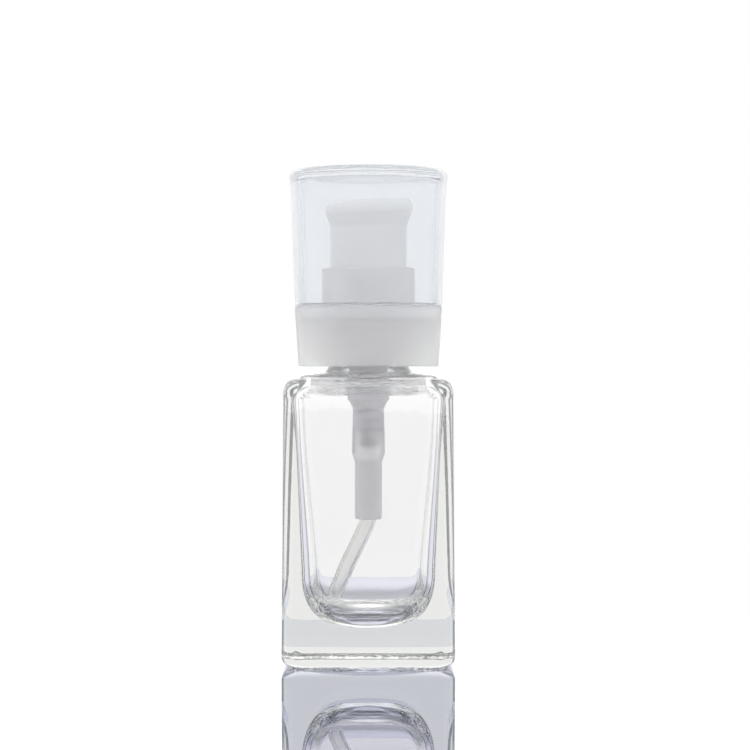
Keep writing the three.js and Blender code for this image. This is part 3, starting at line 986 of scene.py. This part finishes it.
def leaned(angle, radius, height):
    """The head rises towards the spout and moves a little that way."""
    share = smooth((height - HEAD_LOW) / (HEAD_TOP - HEAD_LOW))
    x = radius * math.cos(angle) + share * HEAD_SHIFT * math.cos(SPOUT_ANGLE)
    y = radius * math.sin(angle) + share * HEAD_SHIFT * math.sin(SPOUT_ANGLE)
    along = radius * math.cos(angle - SPOUT_ANGLE)
    return math.atan2(y, x), math.hypot(x, y), height + share * HEAD_TILT * along


def channel_web():
    """The wall under the outlet channel, from the socket out to the skirt."""
    low = SOCKET_LOW + 0.6
    top = HEAD_TOP - 2.2
    side = [(0, low), (2, low), (WEB_REACH, SOCKET_LOW + 4.6), (WEB_REACH, top), (0, top)]
    bm = bmesh.new()
    across = Vector((-math.sin(SPOUT_ANGLE), math.cos(SPOUT_ANGLE), 0)) * (WEB_HALF * MM)
    near, far = ([bm.verts.new(on_spout(*p) * MM + offset) for p in side] for offset in (across, -across))
    bm.faces.new(near)
    bm.faces.new(far[::-1])
    for k in range(len(side)):
        after = (k + 1) % len(side)
        bm.faces.new((near[after], near[k], far[k], far[after]))
    return bm


def spout_body():
    """The snub spout, a tapered round nose with a soft tip."""
    start = on_spout(SPOUT_START, SPOUT_HEIGHT - 0.7)
    end = on_spout(SPOUT_REACH, SPOUT_HEIGHT + 0.2)
    length = (end - start).length
    nose = outline([(0, 0), (2.4, 0), (1.6, length, 0.35), (0, length)])
    bm = turned_mesh(nose, 64)
    turn = Vector((0, 0, 1)).rotation_difference(end - start).to_matrix().to_4x4()
    bm.transform(Matrix.Translation(start * MM) @ turn)
    return bm


def stem_socket():
    """The round body under the dish that the stem's end sits in."""
    corners = [
        (0, SOCKET_LOW),
        (3, SOCKET_LOW, 0.3),
        (3.6, SOCKET_LOW + 3.5, 2),
        (5.4, HEAD_TOP - 2, 0.5),
        (0, HEAD_TOP - 2),
    ]
    return turned_mesh(outline(corners), 72)


def liquid_way():
    """The rods to cut away: the stem's hole, the riser over it and the channel to the spout's tip."""
    stem_top = heights("upper_stem")[1]
    hole = [Vector((0, 0, SOCKET_LOW - 1)), Vector((0, 0, stem_top + SLIDING_GAP))]
    riser = [Vector((0, 0, stem_top - 1)), Vector((0, 0, SPOUT_HEIGHT - 0.4))]
    channel = [on_spout(-0.6, SPOUT_HEIGHT - 0.6), on_spout(SPOUT_REACH + 1, SPOUT_HEIGHT + 0.2)]
    return [
        swept_mesh(hole, [STEM_RADIUS + SLIDING_GAP], 48),
        swept_mesh(riser, [STEM_BORE], 48),
        swept_mesh(channel, [SPOUT_BORE], 48),
    ]


def actuator():
    """The head with its skirt, leaned towards the spout, with what is joined on and cut away."""
    low = heights("actuator")[0]
    inner = SKIRT_RADIUS - SKIRT_WALL
    shell = outline(
        [
            (0, HEAD_TOP - 2.6),
            (inner, HEAD_TOP - 3.2, 1.5),
            (inner, low, 0.2),
            (SKIRT_RADIUS, low, 0.2),
            (SKIRT_RADIUS, HEAD_LOW - 0.3, 3.5),
            (HEAD_RADIUS, HEAD_LOW + 2.9, 2.0),
            (HEAD_RADIUS, HEAD_TOP, 2.0),
            (6.6, HEAD_TOP, 1.2),
            (4.4, HEAD_TOP - 0.9, 4),
            (0, HEAD_TOP - 1),
        ],
        closed=False,
    )
    shell = split_long_sides(shell, lambda middle: 0.6)
    head = turned_mesh(shell, 128, leaned, closed=False)
    piece = finished("push_actuator", head, HEAD_PLASTIC)
    for added in (stem_socket(), channel_web(), spout_body()):
        joined(piece, added, "UNION")
    for rod in liquid_way():
        joined(piece, rod, "DIFFERENCE")
    piece.data.set_sharp_from_angle(angle=math.radians(SHARP_DEGREES))
    return piece


place(glass_bottle(), "bottle", "glass_bottle", "glass")
place(neck_gasket(), "pump", "neck_gasket", "seal")
place(pump_housing(), "pump", "pump_housing", "pump_plastic")
place(dip_tube(), "pump", "dip_tube", "tube_plastic")
place(stem_guide(), "pump", "stem_guide", "pump_plastic")
place(valve_ball(), "inlet_ball", "valve_ball", "steel")
return_spring()
place(lower_stem(), "stem", "lower_stem", "pump_plastic")
place(upper_stem(), "stem", "upper_stem", "pump_plastic")
place(piston_seal(), "piston", "piston_seal", "seal")
place(screw_closure(), "closure", "screw_closure", "pump_plastic")
place(collar_shell(), "closure", "collar_shell", "collar_plastic")
place(overcap(), "overcap", "overcap", "cap_plastic")
place(actuator(), "actuator", "actuator", "pump_plastic")


# Studio


def studio_floor():
    """A pale polished sheet that mirrors the object and ends a little way behind it."""
    corners = [
        (-SHEET_HALF, -SHEET_HALF),
        (SHEET_HALF, -SHEET_HALF),
        (SHEET_HALF, SHEET_BEHIND),
        (-SHEET_HALF, SHEET_BEHIND),
    ]
    bm = bmesh.new()
    bm.faces.new([bm.verts.new((x, y, SHEET_TOP)) for x, y in corners])
    mesh = bpy.data.meshes.new("studio_floor")
    bm.to_mesh(mesh)
    bm.free()
    material, nodes, links, shader = new_material("pale_sheet")
    polish = nodes.new("ShaderNodeBsdfAnisotropic")
    polish.inputs["Color"].default_value = (0.68, 0.685, 0.76, 1)
    polish.inputs["Roughness"].default_value = 0.0
    links.new(polish.outputs["BSDF"], nodes["Material Output"].inputs["Surface"])
    nodes.remove(shader)
    mesh.materials.append(material)
    floor = bpy.data.objects.new("studio_floor", mesh)
    bpy.context.scene.collection.objects.link(floor)


def times(nodes, links, *factors):
    """The product of two or more sockets or numbers."""
    product = factors[0]
    for factor in factors[1:]:
        product = maths(nodes, links, "MULTIPLY", product, factor)
    return product


def inverse(nodes, links, share):
    """1 less a socket's value."""
    return maths(nodes, links, "SUBTRACT", 1.0, share)


def chosen(nodes, links, switch, when_on, when_off):
    """One of two sockets or numbers, by a switch of 0 or 1."""
    mix = nodes.new("ShaderNodeMix")
    links.new(switch, mix.inputs["Factor"])
    for place_in_mix, value in zip(MIX_NUMBERS, (when_off, when_on)):
        socket = mix.inputs[place_in_mix]
        if isinstance(value, bpy.types.NodeSocket):
            links.new(value, socket)
        else:
            socket.default_value = value
    return mix.outputs[MIX_NUMBER_RESULT]


def softbox_ring(nodes, links, direction):
    """How bright the surround is in sharp views, by direction.

    A wide softbox stands behind and one at each side, with darker gaps between them. Overhead is brighter.
    """
    x, y, z = direction
    from_back = maths(nodes, links, "ARCTAN2", maths(nodes, links, "ABSOLUTE", x), y)
    bright = eased(nodes, links, from_back, math.radians(28), math.radians(40), 1.06, 0.36)
    # Each change has the angles from straight behind where it starts and ends, in degrees, and its size.
    for start, end, change in ((48, 58, 0.64), (98, 108, -0.7), (130, 150, 0.4)):
        step = eased(nodes, links, from_back, math.radians(start), math.radians(end), 0.0, change)
        bright = maths(nodes, links, "ADD", bright, step)
    above = eased(nodes, links, z, 0.3, 0.6, 1.0, OVERHEAD_LEVEL)
    below = eased(nodes, links, z, -0.5, -0.2, UNDERFOOT_LEVEL, 1.0)
    return times(nodes, links, bright, times(nodes, links, above, below))


def front_gap(nodes, links, direction, glossy_depth):
    """What the dark gap straight in front leaves of the light, in reflections only."""
    y, z = direction[1:]
    to_front = eased(nodes, links, y, -0.97, -0.8, 1.0, 0.0)
    level = eased(nodes, links, maths(nodes, links, "ABSOLUTE", z), 0.2, 0.4, 1.0, 0.0)
    reflected = maths(nodes, links, "GREATER_THAN", glossy_depth, 0.5)
    return inverse(nodes, links, times(nodes, links, to_front, level, reflected, FRONT_GAP_DEPTH))


def warm_floor(nodes, links, low_share, background):
    """Makes that share of the surround, low in what the floor mirrors into the glass, a warm white."""
    warm = nodes.new("ShaderNodeMix")
    warm.data_type = "RGBA"
    plain_white, warm_white = (warm.inputs[k] for k in MIX_COLOURS)
    plain_white.default_value = (1, 1, 1, 1)
    warm_white.default_value = WARM_WHITE
    links.new(low_share, warm.inputs["Factor"])
    links.new(warm.outputs[MIX_COLOUR_RESULT], background.inputs["Color"])


def studio_light():
    """The surround. The camera sees plain white. The floor mirrors a brighter white, because it is tinted.

    Matt and milky surfaces get even light. Glass, which shows the surround sharply, meets the softboxes and,
    in reflections, a dark gap in front.
    """
    world = bpy.data.worlds.new("studio")
    bpy.context.scene.world = world
    world.use_nodes = True
    nodes = world.node_tree.nodes
    links = world.node_tree.links
    background = nodes["Background"]
    path = nodes.new("ShaderNodeLightPath").outputs
    parts = nodes.new("ShaderNodeSeparateXYZ")
    links.new(nodes.new("ShaderNodeTexCoord").outputs["Generated"], parts.inputs["Vector"])
    direction = tuple(parts.outputs)
    z = direction[2]

    ring = softbox_ring(nodes, links, direction)
    sharp = times(nodes, links, ring, front_gap(nodes, links, direction, path["Glossy Depth"]))

    # A sharp ray that goes up and didn't pass through a surface last was mirrored, by the floor or by an
    # outer face of the glass. With at most two bounces it gets a level of its own. The rest meet the ring.
    singular = path["Is Singular Ray"]
    upward = maths(nodes, links, "GREATER_THAN", z, 0.0)
    not_through = chosen(nodes, links, path["Is Transmission Ray"], 0.0, 1.0)
    bounced = times(nodes, links, singular, upward, not_through)
    first = maths(nodes, links, "LESS_THAN", path["Ray Depth"], 2.5)
    by_height = eased(nodes, links, z, 0.3, 0.6, OFF_FLOOR_LOW_LEVEL, OFF_FLOOR_HIGH_LEVEL)
    off_floor = chosen(nodes, links, first, MIRRORED_LEVEL, times(nodes, links, sharp, by_height))

    scattered = maths(nodes, links, "GREATER_THAN", path["Diffuse Depth"], 0.5)
    through_glass = chosen(nodes, links, scattered, SCATTERED_IN_GLASS_LEVEL, sharp)
    in_the_open = chosen(nodes, links, scattered, SCATTERED_LEVEL, OPEN_LEVEL)
    straight = chosen(nodes, links, singular, through_glass, in_the_open)
    seen = chosen(nodes, links, bounced, off_floor, straight)
    strength = chosen(nodes, links, path["Is Camera Ray"], 1.0, seen)
    links.new(strength, background.inputs["Strength"])

    low_view = eased(nodes, links, z, 0.12, 0.3, 1.0, 0.0)
    low_share = times(nodes, links, low_view, bounced, inverse(nodes, links, first))
    warm_floor(nodes, links, low_share, background)


def studio_camera():
    """Level, a little right of the axis, with a long lens."""
    camera = bpy.data.cameras.new("camera")
    camera.sensor_width = CAMERA_SENSOR
    camera.lens = CAMERA_LENS
    holder = bpy.data.objects.new("camera", camera)
    holder.location = CAMERA_PLACE
    holder.rotation_euler = (math.pi / 2, 0, 0)
    bpy.context.scene.collection.objects.link(holder)
    bpy.context.scene.camera = holder


studio_floor()
studio_light()
studio_camera()

scene = bpy.context.scene
scene.view_settings.view_transform = "Standard"
for kind in ("max", "transmission", "glossy", "diffuse"):
    setattr(scene.cycles, kind + "_bounces", BOUNCES)
scene.cycles.blur_glossy = 0.0
scene.cycles.use_denoising = True
